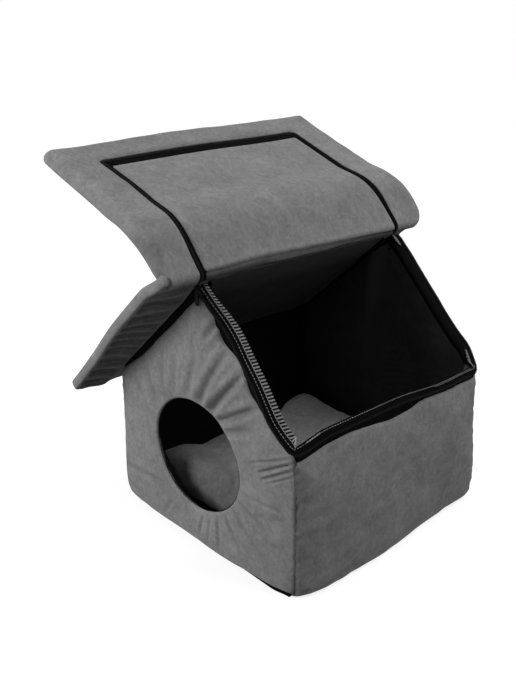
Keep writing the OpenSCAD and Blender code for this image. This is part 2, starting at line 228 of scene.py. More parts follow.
def dress(piece, material, slot, *solids, body="house"):
    """Gives a piece its material, the body it rides on and the plain solids it stands for; slot is not
    used.
    """
    piece.data.materials.append(material)
    if body:
        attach(piece, body)
    if solids:
        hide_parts(*solids)


def new_group(name, inputs, outputs):
    """An empty shader group with float or colour sockets; returns it with the sockets of its two ends."""
    group = bpy.data.node_groups.new(name, "ShaderNodeTree")
    for way, sockets in (("INPUT", inputs), ("OUTPUT", outputs)):
        for socket in sockets:
            kind = "NodeSocketColor" if socket == "Colour" else "NodeSocketFloat"
            group.interface.new_socket(name=socket, in_out=way, socket_type=kind)
    return group, group.nodes.new("NodeGroupInput").outputs, group.nodes.new("NodeGroupOutput").inputs


def noise_in(tree, where, size, detail=3.0, roughness=0.55, distortion=0.0):
    """Noise with patches of one size in metres, read at a coordinate."""
    noise = tree.nodes.new("ShaderNodeTexNoise")
    for socket, value in (("Scale", 1 / size), ("Detail", detail), ("Roughness", roughness),
                          ("Distortion", distortion)):
        noise.inputs[socket].default_value = value
    tree.links.new(where, noise.inputs["Vector"])
    return noise.outputs[0]


def tinted(tree, colour, strength):
    """A colour times a value that varies over the surface."""
    shade = tree.nodes.new("ShaderNodeVectorMath")
    shade.operation = "SCALE"
    tree.links.new(colour, shade.inputs[0])
    tree.links.new(strength, shade.inputs["Scale"])
    return shade.outputs[0]


def finish_of(tree, group, colour, shader, strength, distance):
    """A cloth's group, placed in a material and raised as bump on its shader; returns the placed group."""
    placed = tree.nodes.new("ShaderNodeGroup")
    placed.node_tree = group
    placed.inputs["Colour"].default_value = (*colour, 1)
    relief = tree.nodes.new("ShaderNodeBump")
    relief.inputs["Strength"].default_value = strength
    relief.inputs["Distance"].default_value = distance
    tree.links.new(placed.outputs["Height"], relief.inputs["Height"])
    tree.links.new(relief.outputs["Normal"], shader.inputs["Normal"])
    return placed


# One group gives plain woven cloth its fine crossed threads and its faint worn patches.
weave, weave_in, weave_out = new_group("woven_threads", ("Colour", "Thread"), ("Colour", "Height"))
weave_where = place_on(weave)
crossed = None
for direction in ("X", "Y", "Z"):
    rows_of_thread = weave.nodes.new("ShaderNodeTexWave")
    rows_of_thread.bands_direction = direction
    weave.links.new(weave_where, rows_of_thread.inputs["Vector"])
    weave.links.new(weave_in["Thread"], rows_of_thread.inputs["Scale"])
    thread_height = rows_of_thread.outputs["Fac"]
    crossed = joined(weave, "ADD", crossed, thread_height) if crossed else thread_height
worn = noise_in(weave, weave_where, 45 * mm)
weave_shade = joined(weave, "MULTIPLY", ranged(weave, crossed, 0.8, 1.2, 0.0, 3.0),
                     ranged(weave, worn, 0.7, 1.3))
weave.links.new(tinted(weave, weave_in["Colour"], weave_shade), weave_out["Colour"])
weave.links.new(crossed, weave_out["Height"])


def woven(name, colour, threads, thread_depth, specular=0.04):
    """A plain woven cloth: colour, threads to the metre and the depth between threads."""
    made, tree, shader = plain_material(name, colour, 0.85, specular=specular)
    threads_node = finish_of(tree, weave, colour, shader, 0.6, thread_depth)
    threads_node.inputs["Thread"].default_value = threads
    tree.links.new(threads_node.outputs["Colour"], shader.inputs["Base Color"])
    return made


black_lining = woven("black_lining", (0.0032, 0.0032, 0.0034), 160.0, 0.15 * mm)

base_thickness = base_high.z - base_low.z
base_turn_up = 0.6 * mm
base_inset = 11 * mm


def base_place(across, along):
    x = (2 * crowd(across) - 1) * (half_w - base_inset)
    y = (2 * crowd(along) - 1) * (half_d - base_inset)
    slips_out = rise(-10, 90, x) * rise(120, 185, -y)
    round_corner = rise(155, 179, x)
    x = x + 5 * mm * slips_out * round_corner
    return x, y - (20 - 5 * round_corner) * mm * slips_out, base_thickness / 2 + base_turn_up * slips_out


base_sheet = cloth("base_sheet_cloth", 60, 60, base_place)
thicken(base_sheet, base_thickness * 0.9)
dress(base_sheet, black_lining, "black_lining", "base_sheet")


# The floor pad: a foam board in black lining, which lies between the walls on the base sheet and
# carries the cushion.
inner_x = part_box("right_lining")[0].x
inner_y = -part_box("front_lining")[1].y
floor_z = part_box("floor_lining")[1].z


def rounded(distance, radius):
    """Height of a quarter round, from 0 at the seam to 1 past its radius."""
    return np.sqrt(1 - (1 - np.clip(distance / radius, 0, 1)) ** 2)


def floor_pad_place(across, along):
    upper = along > 0.5
    half_x = inner_x - 1 * mm
    half_y = inner_y - 1 * mm
    x = (2 * crowd(across) - 1) * half_x
    y = (2 * crowd(1 - np.abs(2 * along - 1)) - 1) * half_y
    swell = rounded(np.minimum(half_x - np.abs(x), half_y - np.abs(y)), 8 * mm)
    middle = (base_high.z + floor_z) / 2
    half_t = (floor_z - base_high.z) / 2 - 0.4 * mm
    return x, y, middle + np.where(upper, 1, -1) * half_t * swell


floor_pad = cloth("floor_pad_lining", 48, 96, floor_pad_place)
dress(floor_pad, black_lining, "black_lining", "floor_lining", "floor_foam")


# The front wall: a foam board in grey faux suede with the round entrance cut through it. The cover
# swells between its seams, and the hole's edge draws it into folds that run out from the rim.
suede_colour = (0.190, 0.190, 0.190)

suede, suede_in, suede_out = new_group("suede_nap", ("Colour",), ("Colour", "Height", "Roughness"))
nap_where = place_on(suede)
brushed = noise_in(suede, nap_where, 60 * mm, 3.0, 0.5, 0.8)
marks = noise_in(suede, nap_where, 11 * mm, 5.0, 0.62, 1.2)
fibres = noise_in(suede, nap_where, 0.9 * mm, 2.0, 0.6)
nap_shade = joined(suede, "MULTIPLY", ranged(suede, brushed, 0.90, 1.10, 0.3, 0.7),
                   ranged(suede, marks, 0.82, 1.18, 0.33, 0.67))
nap_shade = joined(suede, "MULTIPLY", nap_shade, ranged(suede, fibres, 0.88, 1.12, 0.25, 0.75))
nap_height = joined(suede, "ADD", ranged(suede, fibres, 0.0, 0.35), ranged(suede, marks, 0.0, 0.65))
suede.links.new(tinted(suede, suede_in["Colour"], nap_shade), suede_out["Colour"])
suede.links.new(nap_height, suede_out["Height"])
suede.links.new(ranged(suede, marks, 0.98, 0.86), suede_out["Roughness"])

grey_suede, suede_tree, suede_shader = plain_material(
    "grey_suede", suede_colour, 0.95, specular=0.05, sheen=0.08)
nap = finish_of(suede_tree, suede, suede_colour, suede_shader, 0.5, 0.5 * mm)
# Painted shade: a value stored on each piece's points darkens the suede's colour in folds, pleats and seams
# and where the cloth lies deep in shade.
painted_shade_node = suede_tree.nodes.new("ShaderNodeAttribute")
painted_shade_node.attribute_name = "painted_shade"
out_of_shade = ranged(suede_tree, painted_shade_node.outputs["Fac"], 1.0, 0.0)
shaded_nap = tinted(suede_tree, nap.outputs["Colour"], out_of_shade)
suede_tree.links.new(shaded_nap, suede_shader.inputs["Base Color"])
suede_tree.links.new(nap.outputs["Roughness"], suede_shader.inputs["Roughness"])

peak_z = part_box("front_cover")[1].z
joints = {joint["name"]: joint for joint in frame["joints"]}
slope_down = Vector(joints["zip_slide"]["axis"])
slope_cos = slope_down.x
slope_sin = -slope_down.z
roof_pitch = slope_sin / slope_cos
eave_z = peak_z - half_w * roof_pitch
seam_in = 7 * mm
corner_in = 0.5 * mm
wall_crown = 14 * mm
wall_belly = 5 * mm
wall_bottom = 1 * mm
bottom_in = 3 * mm
bottom_round = 6 * mm
cover_drop = 2 * mm
corner_depth = 0.85
corner_round = 5 * mm
slope_round = 9 * mm
lining_gap = 1.5 * mm
foot_lift = 4 * mm
hole_x = -9 * mm
hole_z = 137 * mm
hole_half_x = 95 * mm
hole_half_z = 83 * mm
hole_roll = 5 * mm
hole_flare = 31 * mm
hole_lip = 6 * mm


def hill(value, place, width):
    """1 at a place, falling off evenly to both sides; place and width in mm."""
    return np.exp(-((value - place * mm) / (width * mm)) ** 2)


def fade(distance, reach):
    """1 at a seam, falling off away from it over a reach in mm."""
    return np.exp(-np.clip(distance, 0, None) / (reach * mm))


def unevenness(a, b, size, seed):
    """Soft hills from about -1 to 1, of one size, over two coordinates."""
    draw = np.random.default_rng(seed)
    hills = np.zeros_like(a)
    for _ in range(7):
        turn = draw.uniform(0, 2 * np.pi)
        wave = draw.uniform(0.6, 1.5) * 2 * np.pi / size
        shift = draw.uniform(0, 2 * np.pi)
        hills += np.sin(wave * (a * np.cos(turn) + b * np.sin(turn)) + shift)
    return hills / 3.5


def settle(x, y, z):
    """The stuffed house gives a little: the free eave leans in and arches, the back gable's slope bows
    out, the front one sways along its zip, and three of the corners stand out."""
    height = np.clip(z / eave_z, 0, 1.1) ** 2.5
    free = smooth(0.02, half_w, x)
    corner = smooth(0.62, 1.0, np.abs(y) / half_d)
    arch = rise(-190, -125, y) * (1 - 0.75 * rise(0, 110, y)) * (1 - rise(140, 190, y))
    lean_x = free * height * (3 * mm + 3 * mm * corner + 2 * mm * corner * (y > 0) + 8 * mm * arch)
    lean_y = free * height * corner * 3 * mm
    across = x / half_w
    back = y / half_d
    bow = 22 * mm * rise(-30, 5, x) - 5 * mm * smooth(0, 0.4, across)
    bow = bow * (1 - 0.6 * smooth(0.78, 1.05, across))
    bow = bow + 8 * mm * np.exp(-((across - 0.87) / 0.1) ** 2) * rise(150, 220, z)
    bow = bow * smooth(0.5, 1.0, back) * rise(90, 220, z)
    s = x * slope_cos + (peak_z - z) * slope_sin
    below = (peak_z - z) * slope_cos - x * slope_sin
    sway = 6 * mm * hill(s, 72, 42) - 10 * mm * hill(s, 214, 50)
    sway = sway * smooth(0.5, 1.0, -back) * fade(below, 60)
    low = 1 - rise(20, 150, z)
    right = smooth(0.6, 1.0, across)
    front_left = smooth(0.6, 1.0, -across) * smooth(0.6, 1.0, -back) * rise(-20, 30, z)
    back_right = right * smooth(0.6, 1.0, back) * rise(-20, 30, z)
    front_right = right * smooth(-0.3, 0.9, -back) * low
    back_foot = right * smooth(-0.2, 0.5, back) * (1 - smooth(0.6, 0.95, back))
    back_corner = 8 * mm * (1 - rise(70, 140, z)) - 3 * mm * rise(110, 170, z)
    x = x - lean_x - (6 + 3 * low) * mm * front_left - 5 * mm * low * back_foot + 1 * mm * front_right
    y = y - np.sign(y) * lean_y + bow + sway - 5 * mm * front_left + back_corner * back_right
    return x, y, z + 4 * mm * free * height * arch


def gable_distances(x, z):
    """Distances in from a gable cover's seams: bottom, left, right, right slope, left slope."""
    to_slope = (peak_z - z) * slope_cos - cover_drop
    return (z - wall_bottom, x + half_w - corner_in, half_w - corner_in - x,
            to_slope - x * slope_sin, to_slope + x * slope_sin)


def bulge(from_seams, from_bottom, belly):
    """The crown of a wall's cover: it grows in from the seams and is fullest low down."""
    above = rounded(from_bottom, bottom_round)
    low = hill(from_bottom, 0, 80)
    spread = 45 * mm - 22 * mm * low
    crown = wall_crown + belly * low
    return crown * (1 - np.exp(-np.clip(from_seams, 0, None) / spread)) * above - bottom_in * (1 - above)


def corner_edges(first, second):
    """The cover's height beside its two corner seams, as a share."""
    return ((1 - corner_depth * (1 - rounded(first, corner_round)))
            * (1 - corner_depth * (1 - rounded(second, corner_round))))


def ripples(a, b, seed, *waves):
    """Soft hills of a few heights and sizes in mm, on top of each other."""
    total = 0
    for step, (height, size) in enumerate(waves):
        total = total + height * mm * unevenness(a, b, size * mm, seed + step)
    return total


def gable_swell(x, z):
    """How far a gable cover stands out from the seams' plane, with its seams at 0."""
    seams = gable_distances(x, z)
    round_edge = corner_edges(*seams[1:3]) * rounded(seams[3], slope_round) * rounded(seams[4], slope_round)
    belly = wall_belly * (1 - 0.8 * smooth(0, half_w, x))
    return seam_in * round_edge + bulge(np.min(seams[1:], axis=0), seams[0], belly)


def corner_shade(distance):
    """Painted shade: the thin dark line where a cover dips into its corner seam."""
    return 0.6 * hill(np.clip(distance, 0, None), 0, 2)


def gable_reach(turn, centre_x, centre_z):
    """Distance from a centre to the cover's seam, with its corners a little rounded."""
    sharpness = 48
    at_centre = gable_distances(np.array(centre_x), np.array(centre_z))
    ahead = gable_distances(centre_x + np.cos(turn), centre_z + np.sin(turn))
    closeness = np.zeros_like(turn)
    for here, there in zip(at_centre, ahead):
        closeness += np.clip((here - there) / here, 0, None) ** sharpness
    return closeness ** (-1 / sharpness)


def creases(a, b, lines):
    """Depth of folds in a cover: each runs between two points and has a half width and a depth, in mm."""
    depth = np.zeros_like(a)
    for line in lines:
        a0, b0, a1, b1, width, deep = np.array(line) * mm
        run = np.hypot(a1 - a0, b1 - b0)
        along = ((a - a0) * (a1 - a0) + (b - b0) * (b1 - b0)) / run ** 2
        aside = ((a - a0) * (b1 - b0) - (b - b0) * (a1 - a0)) / run
        valley = np.exp(-(aside / width) ** 2) - 0.45 * np.exp(-((np.abs(aside) - 2 * width) / width) ** 2)
        depth += deep * valley * smooth(-0.15, 0.12, along) * (1 - smooth(0.65, 1.15, along))
    return depth


# Folds of the front cover, as x and z of both ends: those drawn from the entrance up to the zip, the
# soft ones above it, the level tucks under the eave corner, the fan below, and two at the left.
front_folds = [
    (2, 222, 57, 317, 6, 4.4), (26, 218, 96, 296, 5.5, 5.2), (45, 210, 130, 260, 5, 4.6),
    (59, 199, 125, 227, 5, 2.4), (16, 324, 42, 359, 5, 2.6), (78, 268, 108, 285, 4, 1.6),
    (-23, 228, 1, 300, 6, 2.2), (-53, 222, -47, 285, 6, 1.8), (-78, 210, -82, 264, 6, 1.6),
    (-102, 201, -124, 240, 6, 1.7), (-128, 190, -150, 215, 6, 1.2), (-8, 300, 6, 345, 7, 1.2),
    (122, 181, 186, 207, 1.9, 1.5), (134, 171, 187, 200, 2.0, 2.6), (140, 163, 188, 191, 1.9, 2.2),
    (158, 165, 189, 182, 1.5, 1.0),
    (77, 86, 152, 38, 3.2, 2.4), (92, 105, 152, 85, 3.2, 1.9), (62, 68, 101, 31, 3.2, 2.2),
    (45, 58, 55, 12, 3.2, 2.2), (28, 50, 30, 14, 3, 1.5), (13, 46, 9, 14, 3, 1.6),
    (102, 122, 170, 125, 3.2, 1.3), (109, 84, 176, 63, 3.2, 1.5), (-176, 51, -77, 63, 5, 2.0),
    (-182, 25, -127, 18, 5, 1.4), (-60, 40, -75, 14, 4, 1.2)]


def slope_scallops(s):
    """How far the cover's edge hangs back from the zip tape, along the right slope."""
    return (16 * mm * hill(s, 74, 26)
            + 13.5 * mm * hill(s, 157, 24)
            + 3 * mm * hill(s, 205, 16) - 3 * mm * rise(0, 20, s))


def hole_rim(turn):
    """Distance from the entrance's middle to its edge."""
    return 1 / np.hypot(np.cos(turn) / hole_half_x, np.sin(turn) / hole_half_z)


rows_barrel, rows_roll, rows_face, rows_back = 3, 9, 70, 6
front_rows = rows_barrel + rows_roll + rows_face + rows_back


def front_place(around, along):
    turn = 2 * np.pi * around
    row = np.rint(along * front_rows)
    barrel = np.clip(row / rows_barrel, 0, 1)
    roll = np.clip((row - rows_barrel) / rows_roll, 0, 1) * np.pi / 2
    face = np.clip((row - rows_barrel - rows_roll) / rows_face, 0, 1)
    back = np.clip((row - rows_barrel - rows_roll - rows_face) / rows_back, 0, 1)
    rim = hole_rim(turn)
    reach = gable_reach(turn, hole_x, hole_z)
    start = rim + hole_roll
    out = start + (reach - start) * (1 - (1 - face) ** 1.7)
    out = np.where(row <= rows_barrel + rows_roll, rim + hole_roll * (1 - np.cos(roll)), out)
    out = np.where(row <= rows_barrel, rim + hole_flare * (1 - barrel), out)
    out = np.where(back > 0, reach + (rim + hole_flare - reach) * back, out)
    x = hole_x + out * np.cos(turn)
    z = hole_z + out * np.sin(turn)
    lip = hole_lip * fade(out - rim - hole_roll, 26)
    stands = gable_swell(x, z) - seam_in - lip
    depth = creases(x, z, front_folds)
    stands = stands - depth * rise(-3, 6, out - start)
    y = -half_d - stands - ripples(x, z, 11, (0.8, 90), (0.35, 32))
    y = np.where(row <= rows_barrel + rows_roll, y + hole_roll * (1 - np.sin(roll)), y)
    inner_face = -inner_y - lining_gap
    y = np.where(row <= rows_barrel, inner_face + (y - inner_face) * barrel, y)
    y = np.where(back > 0, y + (inner_face - y) * smooth(0, 0.3, back), y)
    # Painted shade in the folds' valleys: the deeper the fold, the darker, up to a limit.
    shade = np.clip(depth / (14 * mm), 0, 0.18)
    s = x * slope_cos + (peak_z - z) * slope_sin
    to_seams = gable_distances(x, z)
    drop = slope_scallops(s) * fade(to_seams[3], 22)
    left_drop = 1.5 * mm * fade(to_seams[4], 14)
    x = x - drop * slope_sin + left_drop * slope_sin
    z = z - drop * slope_cos - left_drop * slope_cos
    z = z + foot_lift * rise(70, 155, x) * fade(z, 25)
    return *settle(x, y, z), shade + corner_shade(np.minimum(to_seams[1], to_seams[2]))


front_wall = cloth("front_wall_cover", 720, front_rows, front_place)
dress(front_wall, grey_suede, "grey_suede", "front_cover", "front_foam")


# The back wall is the same board without a hole: a closed cover, swollen between its seams and
# wrinkled a little where the corners pull.
eave_drop = 12 * mm


def gable_square(across, up):
    """A point of the gable's outline from shares across and up: a square drawn over the pentagon."""
    half = half_w - corner_in
    x = (2 * crowd(across) - 1) * half
    top = peak_z - cover_drop / slope_cos - np.abs(x) * roof_pitch
    top = top - eave_drop * rise(115, 165, x)
    return x, wall_bottom + (top - wall_bottom) * crowd(up)


def back_place(across, along):
    outer = along <= 0.5
    x, z = gable_square(across, 1 - np.abs(2 * along - 1))
    seam = half_d + gable_swell(x, z) - seam_in + ripples(x, z, 21, (1.0, 80), (0.5, 30))
    edge = np.min(gable_distances(x, z), axis=0)
    y = np.where(outer, seam, seam + (inner_y + lining_gap - seam) * rise(0, 5, edge))
    return settle(x, y, z)


back_wall = cloth("back_wall_cover", 120, 220, back_place)
dress(back_wall, grey_suede, "grey_suede", "back_cover", "back_foam")


# The two side walls: foam boards in the same suede. The right one carries the free eave, and folds
# run down and forwards from its zip tape.
# Folds of a side cover, as y and z of both ends.
side_folds = [
    (-83, 212, -125, 188, 5, 3.2), (-110, 212, -142, 185, 5, 2.4), (-125, 192, -174, 128, 8, 2.8),
    (-47, 212, -63, 180, 7, 1.8), (-13, 214, -21, 176, 7, 1.4), (-152, 210, -165, 186, 4, 1.6),
    (40, 212, 36, 172, 9, 1.2), (95, 212, 104, 178, 8, 1.1), (150, 212, 165, 185, 6, 1.3)]


def eave_waves(y, side):
    """How far the cover's top edge hangs below the tape: it dips in waves along the free eave."""
    dip = 6.5 * mm * hill(y, 2, 34) - 3 * mm * hill(y, -105, 40)
    dip = dip - 7 * mm * rise(35, 70, y) + 2 * mm * rise(90, 130, y)
    return np.where(side > 0, dip, -6 * mm)


def side_wall_place(side, seed):
    def place(across, along):
        outer = along <= 0.5
        up = crowd(1 - np.abs(2 * along - 1))
        half = half_d - corner_in
        y = (2 * crowd(across) - 1) * half
        top = eave_z - cover_drop - eave_drop - eave_waves(y, side) - ripples(y, y * 0, seed, (1, 120))
        z = wall_bottom + (top - wall_bottom) * up
        seams = (z - wall_bottom, top - z, half - y, half + y)
        round_edge = corner_edges(*seams[2:]) * rounded(seams[1], 6 * mm)
        belly = wall_belly * (1 - smooth(0, half_d, y))
        swell = seam_in * round_edge - seam_in + bulge(np.min(seams[1:], axis=0), seams[0], belly)
        swell = swell - creases(y, z, side_folds) * rise(0, 16, seams[1])
        swell = swell + ripples(y, z, seed + 1, (1.0, 85), (0.4, 30))
        beside_seam = fade(np.minimum(seams[2], seams[3]), 9) * rounded(seams[0], bottom_round)
        seam = half_w + swell + beside_seam * ripples(z, y, seed + 3, (1.1, 17))
        nearest = np.min(seams, axis=0)
        x = np.where(outer, seam, seam + (inner_x + lining_gap - seam) * rise(0, 5, nearest))
        z = z + foot_lift * (side > 0) * rise(-60, 110, y) * fade(z, 25)
        return *settle(side * x, y, z), corner_shade(np.minimum(seams[2], seams[3]))
    return place


for side_name, side, side_seed in (("right", 1, 31), ("left", -1, 41)):
    side_wall = cloth(side_name + "_wall_cover", 200, 240, side_wall_place(side, side_seed))
    dress(side_wall, grey_suede, "grey_suede", side_name + "_cover", side_name + "_foam")


# The black lining: one sheet on the inside of each wall, slack enough to wrinkle a little, and a
# strip of the same cloth that edges the entrance through the wall.
lining_slack = 2.5 * mm
lining_t = 1 * mm
lining_bottom = floor_z - 1 * mm


def lining_swell(a, b, edge, seed):
    slack = lining_slack * rise(0, 40, edge)
    slack = slack * (0.6 + 0.5 * unevenness(a, b, 110 * mm, seed))
    return slack + ripples(a, b, seed + 1, (0.5, 26))


def back_lining_place(across, up):
    x = (2 * across - 1) * inner_x
    top = peak_z - 2 * mm - np.abs(x) * roof_pitch
    z = lining_bottom + (top - lining_bottom) * up
    edge = np.clip(np.minimum(inner_x - np.abs(x), top - z), 0, None)
    return settle(x, inner_y - lining_swell(x, z, edge, 51), z)


def front_lining_place(around, out):
    turn = 2 * np.pi * around
    rim = hole_rim(turn) + hole_flare - 1 * mm
    reach = gable_reach(turn, hole_x, hole_z)
    reach = np.minimum(reach, inner_x / np.maximum(np.abs(np.cos(turn)), 1e-6))
    away = rim + (np.maximum(reach, rim + 1 * mm) - rim) * out
    x = hole_x + away * np.cos(turn)
    z = np.maximum(hole_z + away * np.sin(turn), lining_bottom)
    edge = np.minimum(away - rim, reach - away)
    return settle(x, -inner_y + lining_swell(x, z, edge, 53), z)


side_lining_top = {-1: peak_z - inner_x * roof_pitch + 8 * mm, 1: eave_z - eave_drop}


def side_lining_place(side):
    def place(across, up):
        y = (2 * across - 1) * inner_y
        top = side_lining_top[side]
        z = lining_bottom + (top - lining_bottom) * up
        edge = np.minimum(inner_y - np.abs(y), top - z)
        return settle(side * (inner_x - lining_swell(y, z, edge, 55 + side)), y, z)
    return place


eave_inside = peak_z - inner_x * roof_pitch - lining_bottom
left_inside = side_lining_top[-1] - lining_bottom
right_inside = side_lining_top[1] - lining_bottom
# The back wall's lining is a lighter black than the other linings: painted light, as if light came in
# through the roof opening onto it.
painted_light_lining = woven("black_lining_painted_light", (0.026, 0.026, 0.026), 160.0, 0.15 * mm)
gable_inside = peak_z - lining_bottom
gable_flat = (2 * inner_x, gable_inside)
gable_cut = inner_x * (eave_inside + gable_inside)
hole_cut = math.pi * hole_half_x * hole_half_z
for wall_name, columns, rows, place, flat, area, black in (
        ("back", 80, 80, back_lining_place, gable_flat, gable_cut, painted_light_lining),
        ("front", 160, 24, front_lining_place, gable_flat, gable_cut - hole_cut, black_lining),
        ("left", 70, 50, side_lining_place(-1), (2 * inner_y, left_inside), None, black_lining),
        ("right", 70, 50, side_lining_place(1), (2 * inner_y, right_inside), None, black_lining)):
    lining = cloth(wall_name + "_wall_lining", columns, rows, place)
    thicken(lining, lining_t)
    dress(lining, black, "black_lining", wall_name + "_lining")


def edging_place(around, through):
    turn = 2 * np.pi * around
    rim = hole_rim(turn)
    swell = gable_swell(hole_x + rim * np.cos(turn), hole_z + rim * np.sin(turn)) - seam_in - hole_lip
    first = -half_d - swell + 0.7 * hole_roll
    y = first + (-inner_y - 0.5 * mm - first) * through
    away = rim - 0.9 * mm + hole_flare * through + 0.2 * mm * np.sin(23 * turn)
    return settle(hole_x + away * np.cos(turn), y, hole_z + away * np.sin(turn))


edging = cloth("entrance_edging_cloth", 160, 8, edging_place)
thicken(edging, lining_t)
dress(edging, black_lining, "black_lining", "entrance_edging")


# The zip round the roof opening: black tape folded over the top of the walls, sewn down with a grey
# topstitch, with the coil on its outer edge and a grey overlocked edge inside.
tape_y = -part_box("house_zip_tape")[0].y
slope_l = half_w / slope_cos
tape_start = -5 * mm
tape_reach = slope_l + (tape_y - half_d)
rim_corner = 11 * mm
black_tape = woven("zip_tape", (0.0018, 0.0018, 0.0019), 420.0, 0.2 * mm, specular=0.025)
coil_black = plain_material("zip_coil", (0.004, 0.004, 0.0045), 0.55, specular=0.12)[0]


def zip_path(start, reach, half, corner):
    """A zip's path: down the front slope, along the eave and up the back slope. Returns its length, the
    shares of it where its first corner starts and ends, and what gives its points' slope axes s and y."""
    leg = reach - corner - start
    arc = math.pi / 2 * corner
    eave = 2 * (half - corner)
    length = 2 * (leg + arc) + eave

    def point(share, inside):
        along = share * length
        bend = corner - inside
        first = np.clip((along - leg) / arc, 0, 1) * np.pi / 2
        second = np.clip((along - leg - arc - eave) / arc, 0, 1) * np.pi / 2
        down = np.clip(along, 0, leg)
        across = np.clip(along - leg - arc, 0, eave)
        up = np.clip(along - leg - 2 * arc - eave, 0, leg)
        s = start + down - up + bend * (np.sin(first) - 1 + np.cos(second))
        y = corner - half + across - bend * np.cos(first) + bend * np.sin(second)
        return np.minimum(s, reach - inside), np.clip(y, inside - half, half - inside)

    return length, leg / length, (leg + arc) / length, point


def between_corners(along, leg, corner):
    """1 on a zip's run along the eave and 0 on its two legs."""
    return smooth(leg, corner, along) * smooth(leg, corner, 1 - along)


def on_slope(s, y, n, side=1):
    """The house's axes from a slope's: s down it, y along the ridge and n out of it."""
    return side * (s * slope_cos + n * slope_sin), y, peak_z - s * slope_sin + n * slope_cos


def band(name, columns, profile, place):
    """A strip along the zip: profile lists its cross-section as (inside, height) pairs in mm."""
    inside, height = np.array(profile).T * mm
    steps = np.linspace(0, 1, len(profile))

    def lay(along, across):
        return place(along, np.interp(across, steps, inside), np.interp(across, steps, height))

    return cloth(name, columns, len(profile) - 1, lay)


house_zip_l, leg_share, corner_share, house_zip_point = zip_path(tape_start, tape_reach, tape_y, rim_corner)


def on_house_rim(along, inside, height):
    """A point of the rim's tape; over the eave it is narrow and its outer edge hangs straight down."""
    on_eave = between_corners(along, leg_share, corner_share)
    inside = inside - 0.72 * on_eave * np.clip(inside - 4 * mm, 0, None)
    inside = inside + 3 * mm * on_eave * rise(2, 12, -height) * (inside < 12 * mm)
    hang = np.clip(-height, 0, None) * roof_pitch * on_eave * (inside < 12 * mm)
    s, y = house_zip_point(along, inside - hang)
    sway = 0.4 * mm * unevenness(along * house_zip_l, along * 0, 70 * mm, 61)
    return settle(*on_slope(s, y, height + sway))


tape_t = 0.8 * mm
tape_profile = [(6, -25), (2.5, -20), (2, -15), (1.5, -10), (1, -6), (-0.5, -2.5), (-2.2, 0.4), (-1, 2),
                (2, 2.6), (6, 2.6), (10, 2.4), (15, 2.2), (20, 1.6), (21.5, 0), (21.5, -5)]
house_tape = band("house_zip_tape_cloth", 420, tape_profile, on_house_rim)
thicken(house_tape, tape_t)
dress(house_tape, black_tape, "zip_tape", "house_zip_tape")


def thread(name, paths, radius):
    """Round thread along each path of points, as one mesh."""
    curve = bpy.data.curves.new(name, "CURVE")
    curve.dimensions = "3D"
    curve.bevel_depth = radius
    curve.bevel_resolution = 1
    curve.use_fill_caps = True
    for path in paths:
        spline = curve.splines.new("POLY")
        spline.points.add(len(path) - 1)
        spline.points.foreach_set("co", np.column_stack([path, np.ones(len(path))]).ravel())
    holder = bpy.data.objects.new(name, curve)
    mesh = bpy.data.meshes.new_from_object(holder)
    mesh.name = name
    bpy.data.objects.remove(holder)
    for face in mesh.polygons:
        face.use_smooth = True
    return put(name, mesh)


coil_pitch = 2.4 * mm
coil_depth = 2.6 * mm
coil_thread_r = 0.5 * mm


def coil_path(length, place, outer, low, high):
    """The zip's coil as one zigzag thread that climbs over the tape's edge and back."""
    turns = int(length / coil_pitch)
    shares = (np.arange(turns * 4 + 1) / 4) / turns
    step = np.arange(turns * 4 + 1) % 4
    inside = np.choose(step, [outer, outer + coil_depth, outer + coil_depth, outer])
    height = np.choose(step, [low, low, high, high])
    return np.column_stack(place(shares, inside, height))


house_coil_path = coil_path(house_zip_l, on_house_rim, -3.6 * mm, 0.3 * mm, 1.9 * mm)
house_coil = thread("house_zip_coil_turns", [house_coil_path], coil_thread_r)
dress(house_coil, coil_black, "zip_coil", "house_zip_coil")


def two_greys(tree, shader, share, first, second):
    """A shader's colour, between two colours by a share that varies over the surface."""
    mix = tree.nodes.new("ShaderNodeMix")
    mix.data_type = "RGBA"
    mix.inputs["A"].default_value = (*first, 1)
    mix.inputs["B"].default_value = (*second, 1)
    tree.links.new(share, mix.inputs["Factor"])
    tree.links.new(mix.outputs["Result"], shader.inputs["Base Color"])


grey_thread, thread_tree, thread_shader = plain_material(
    "grey_thread", (0.30, 0.30, 0.30), 0.7, specular=0.2)
ply = noise_in(thread_tree, place_on(thread_tree), 1.5 * mm)
two_greys(thread_tree, thread_shader, ply, (0.16, 0.16, 0.16), (0.46, 0.46, 0.46))

stitch_pitch = 4.8 * mm
stitch_l = 2.4 * mm
stitch_steps = np.array([0, 0.15, 0.5, 0.85, 1])
stitch_arch = np.array([-0.5, 0.1, 0.25, 0.1, -0.5]) * mm


def stitches(stretches, inside, height):
    """Separate stitches along stretches of the opening's zip: each a short arched thread."""
    paths = []
    for first, last in stretches:
        for start in np.arange(first * house_zip_l, last * house_zip_l - stitch_pitch, stitch_pitch):
            along = (start + stitch_l * stitch_steps) / house_zip_l
            paths.append(np.column_stack(on_house_rim(along, np.full(5, inside), height + stitch_arch)))
    return paths


topstitch_paths = stitches([(0, corner_share), (0.60, 1 - leg_share)], 4 * mm, 3.2 * mm)
topstitch_paths += stitches([(corner_share, 1 - corner_share)], 11 * mm, 3.0 * mm)
topstitch = thread("opening_topstitch", topstitch_paths, 0.4 * mm)
dress(topstitch, grey_thread, "grey_thread")

overlock_pitch = 5 * mm
overlock_w = 7.5 * mm


